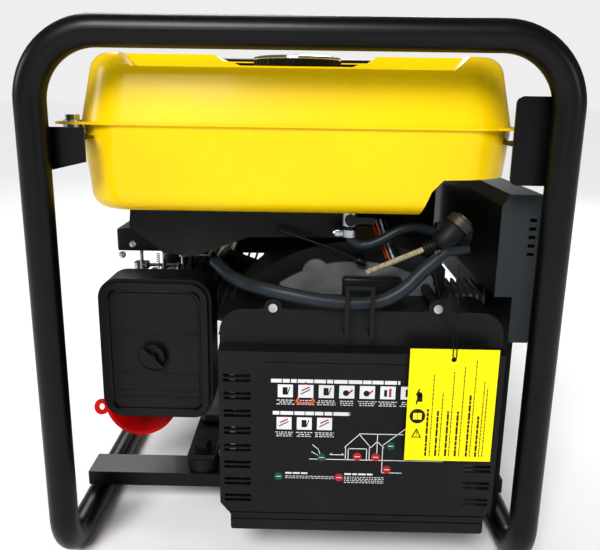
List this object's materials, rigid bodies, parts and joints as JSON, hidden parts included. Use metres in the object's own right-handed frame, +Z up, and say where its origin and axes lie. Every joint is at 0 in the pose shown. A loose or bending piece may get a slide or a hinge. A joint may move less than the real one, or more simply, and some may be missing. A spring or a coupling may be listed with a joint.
{
  "type": "portable generator",
  "caption": "Open-frame portable generator: tubular steel frame, yellow fuel tank, air-cooled engine and alternator, side control panel, oil funnel and hang tag.",
  "frame": {"origin": "ground level, under the middle of the frame", "axes": "+X to the control panel side, +Y from the filter end to the alternator end, +Z up"},
  "size_m": [0.53, 0.695, 0.58],
  "materials": {
    "frame_black": "satin",
    "mount_rubber": "matte",
    "tank_yellow": "gloss",
    "strainer_white": "matte",
    "cap_black": "gloss",
    "zinc_steel": "satin",
    "bed_steel": "satin",
    "cast_aluminium": "matte",
    "bearing_steel": "gloss",
    "dark_plastic": "matte",
    "sheet_black": "satin",
    "forged_steel": "satin",
    "flywheel_iron": "matte",
    "exhaust_steel": "satin",
    "filter_foam": "matte",
    "plate_print": "satin",
    "wire_plastic": "satin",
    "panel_grey": "satin",
    "flap_grey": "matte",
    "key_metal": "satin",
    "finned_aluminium": "satin",
    "funnel_red": "gloss",
    "tag_card": "satin",
    "string_black": "matte"
  },
  "bodies": {
    "frame": {"front_frame_tube": "frame_black", "rear_frame_tube": "frame_black", "cross_members": "frame_black", "engine_mounts": "mount_rubber", "fuel_tank_upper": "tank_yellow", "fuel_tank_lower": "tank_yellow", "fuel_strainer": "strainer_white", "tank_brackets": "frame_black", "tank_fixings": "zinc_steel", "engine_bed": "bed_steel", "crankcase": "cast_aluminium", "side_cover": "cast_aluminium", "shaft_bearings": "bearing_steel", "cylinder_head": "cast_aluminium", "valve_cover": "sheet_black", "fan_housing": "sheet_black", "fan_end_casting": "cast_aluminium", "air_duct": "sheet_black", "muffler": "exhaust_steel", "muffler_guard": "exhaust_steel", "carburettor": "cast_aluminium", "linkage_cover": "zinc_steel", "air_filter_base": "dark_plastic", "air_filter_element": "filter_foam", "stator": "forged_steel", "alternator_end_bell": "cast_aluminium", "alternator_end_cover": "sheet_black", "front_cover": "dark_plastic", "cover_screws": "zinc_steel", "instruction_plate": "plate_print", "fuel_tap": "zinc_steel", "fuel_hose": "mount_rubber", "breather_hose": "mount_rubber", "wiring": "wire_plastic", "starter_solenoid": "wire_plastic", "control_box": "frame_black", "control_faceplate": "panel_grey", "voltmeter": "panel_grey", "panel_fittings": "panel_grey", "regulator_rectifier": "finned_aluminium", "tag_string": "string_black"},
    "cap_lift_gasket": {"cap_gasket": "mount_rubber"},
    "cap": {"fuel_cap": "cap_black"},
    "tap_lever": {"fuel_tap_lever": "dark_plastic"},
    "throttle": {"throttle_arm": "zinc_steel"},
    "choke": {"choke_lever": "zinc_steel"},
    "filter_lid": {"air_filter_cover": "dark_plastic"},
    "filter_knob": {"air_filter_knob": "dark_plastic"},
    "crank_train": {"crankshaft": "forged_steel", "flywheel": "flywheel_iron", "cooling_fan": "dark_plastic", "rotor": "forged_steel"},
    "key": {"ignition_key": "key_metal"},
    "breaker": {"breaker_rocker": "flap_grey"},
    "flap_front": {"outlet_flap_front": "flap_grey"},
    "flap_rear": {"outlet_flap_rear": "flap_grey"},
    "ground_nut": {"ground_wing_nut": "key_metal"},
    "dipstick": {"dipstick": "dark_plastic"},
    "funnel": {"oil_funnel": "funnel_red"},
    "tag": {"hang_tag": "tag_card"}
  },
  "joints": [
    {"name": "cap_lift", "type": "slide", "parent": "frame", "child": "cap_lift_gasket", "axis": [0, 0, 1], "range_m": [0, 0.08]},
    {"name": "cap_turn", "type": "hinge", "parent": "cap_lift_gasket", "child": "cap", "pos_m": [-0.004, -0.195, 0.55], "axis": [0, 0, 1], "range_deg": [0, 90]},
    {"name": "tap_turn", "type": "hinge", "parent": "frame", "child": "tap_lever", "pos_m": [0.056, -0.27, 0.384], "axis": [0, 1, 0], "range_deg": [0, 90]},
    {"name": "throttle_turn", "type": "hinge", "parent": "frame", "child": "throttle", "pos_m": [-0.152, -0.116, 0.306], "axis": [0, 0, 1], "range_deg": [0, 60], "stiffness_Nm_per_rad": 0.02},
    {"name": "choke_turn", "type": "hinge", "parent": "frame", "child": "choke", "pos_m": [-0.152, -0.146, 0.301], "axis": [0, 0, 1], "range_deg": [-50, 0]},
    {"name": "filter_cover_pull", "type": "slide", "parent": "frame", "child": "filter_lid", "axis": [0, -1, 0], "range_m": [0, 0.12]},
    {"name": "filter_knob_turn", "type": "hinge", "parent": "filter_lid", "child": "filter_knob", "pos_m": [-0.163, -0.255, 0.22], "axis": [0, 1, 0], "continuous": true},
    {"name": "crank_spin", "type": "hinge", "parent": "frame", "child": "crank_train", "pos_m": [0.067, 0, 0.177], "axis": [0, 1, 0], "continuous": true},
    {"name": "key_turn", "type": "hinge", "parent": "frame", "child": "key", "pos_m": [0.252, -0.196, 0.296], "axis": [1, 0, 0], "range_deg": [0, 80]},
    {"name": "breaker_rock", "type": "hinge", "parent": "frame", "child": "breaker", "pos_m": [0.244, -0.11, 0.366], "axis": [0, 1, 0], "range_deg": [0, 14]},
    {"name": "flap_front_open", "type": "hinge", "parent": "frame", "child": "flap_front", "pos_m": [0.2565, 0.01, 0.331], "axis": [0, -1, 0], "range_deg": [0, 100], "stiffness_Nm_per_rad": 0.02, "springref_deg": -20.05},
    {"name": "flap_rear_open", "type": "hinge", "parent": "frame", "child": "flap_rear", "pos_m": [0.2565, 0.13, 0.331], "axis": [0, -1, 0], "range_deg": [0, 100], "stiffness_Nm_per_rad": 0.02, "springref_deg": -20.05},
    {"name": "ground_nut_turn", "type": "hinge", "parent": "frame", "child": "ground_nut", "pos_m": [0.252, 0.222, 0.282], "axis": [1, 0, 0], "continuous": true},
    {"name": "dipstick_turn", "type": "hinge", "parent": "frame", "child": "dipstick", "pos_m": [-0.037, -0.06, 0.112], "axis": [1, 0, 0], "continuous": true},
    {"name": "funnel_pull", "type": "slide", "parent": "frame", "child": "funnel", "axis": [-1, 0, 0], "range_m": [0, 0.12]},
    {"name": "tag_swing", "type": "hinge", "parent": "frame", "child": "tag", "pos_m": [0.159, -0.3446, 0.258], "axis": [0, 1, 0], "range_deg": [-10, 10]}
  ]
}
